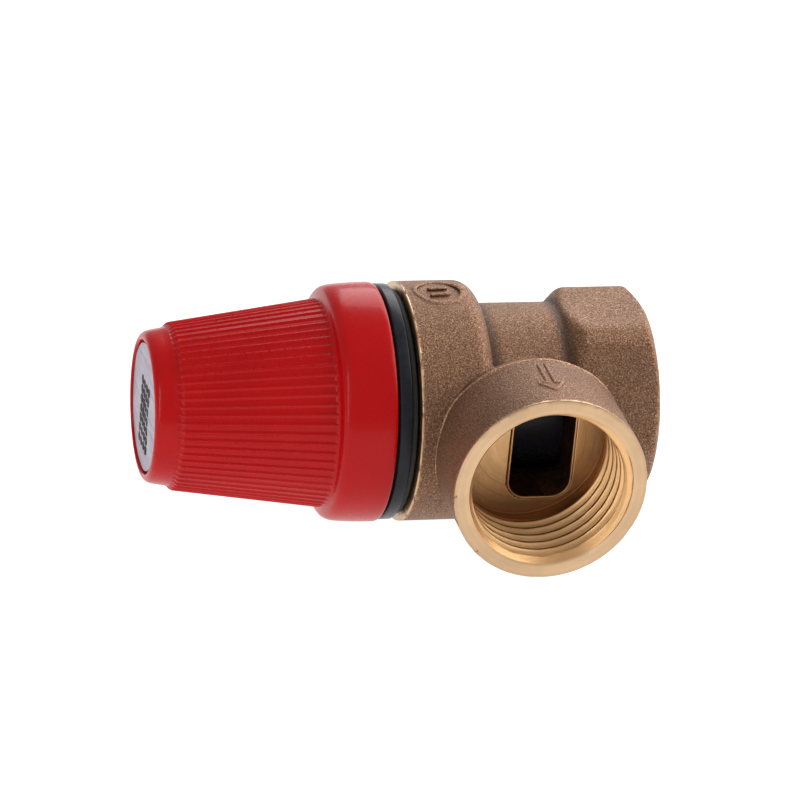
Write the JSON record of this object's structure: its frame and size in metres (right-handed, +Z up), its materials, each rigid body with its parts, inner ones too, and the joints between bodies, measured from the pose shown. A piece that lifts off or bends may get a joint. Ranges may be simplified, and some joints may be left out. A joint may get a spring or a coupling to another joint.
{
  "type": "pressure relief valve",
  "caption": "Angle pattern pressure relief valve with threaded sockets, spring-loaded diaphragm disc and a ribbed twist-to-test knob.",
  "frame": {"origin": "centre of the bounding box's bottom face, with the valve lying down and its outlet level", "axes": "+X along the valve axis from the knob to the inlet socket, -Y out of the outlet socket, +Z up"},
  "size_m": [0.0628, 0.0398, 0.0302],
  "materials": {
    "cast_brass": "hot-forged and grit-blasted, machined on the sockets",
    "turned_brass": "turned",
    "red_plastic": "glossy moulded plastic",
    "black_plastic": "satin moulded plastic",
    "rubber": "moulded synthetic rubber",
    "steel": "plated steel",
    "label": "printed film"
  },
  "bodies": {
    "body": {"valve_body": "cast_brass", "bonnet": "black_plastic", "adjuster": "turned_brass", "lock_ring": "turned_brass", "thrust_washer": "steel", "slip_washer": "steel", "spring": "steel", "diaphragm": "rubber"},
    "stem_assembly": {"stem": "turned_brass", "spring_plate": "steel", "diaphragm_nut": "turned_brass", "diaphragm_plate": "steel", "disc_holder": "black_plastic", "seat_disc": "rubber", "seat_washer": "steel", "seat_screw": "steel", "knob_screw": "steel", "knob_washer": "steel"},
    "knob": {"knob": "red_plastic", "label_disc": "label"}
  },
  "joints": [
    {"name": "valve_lift", "type": "slide", "parent": "body", "child": "stem_assembly", "axis": [-1, 0, 0], "range_m": [0, 0.002], "stiffness_N_per_m": 1500, "springref_m": -0.005, "deforming": ["spring", "diaphragm"]},
    {"name": "knob_turn", "type": "hinge", "parent": "stem_assembly", "child": "knob", "pos_m": [-0.03, 0.00495, 0.01495], "axis": [-1, 0, 0], "range_deg": [0, 80]}
  ],
  "couplings": [
    {"joint": "knob_turn", "follows": "valve_lift", "rad_per_m": 698.1}
  ]
}
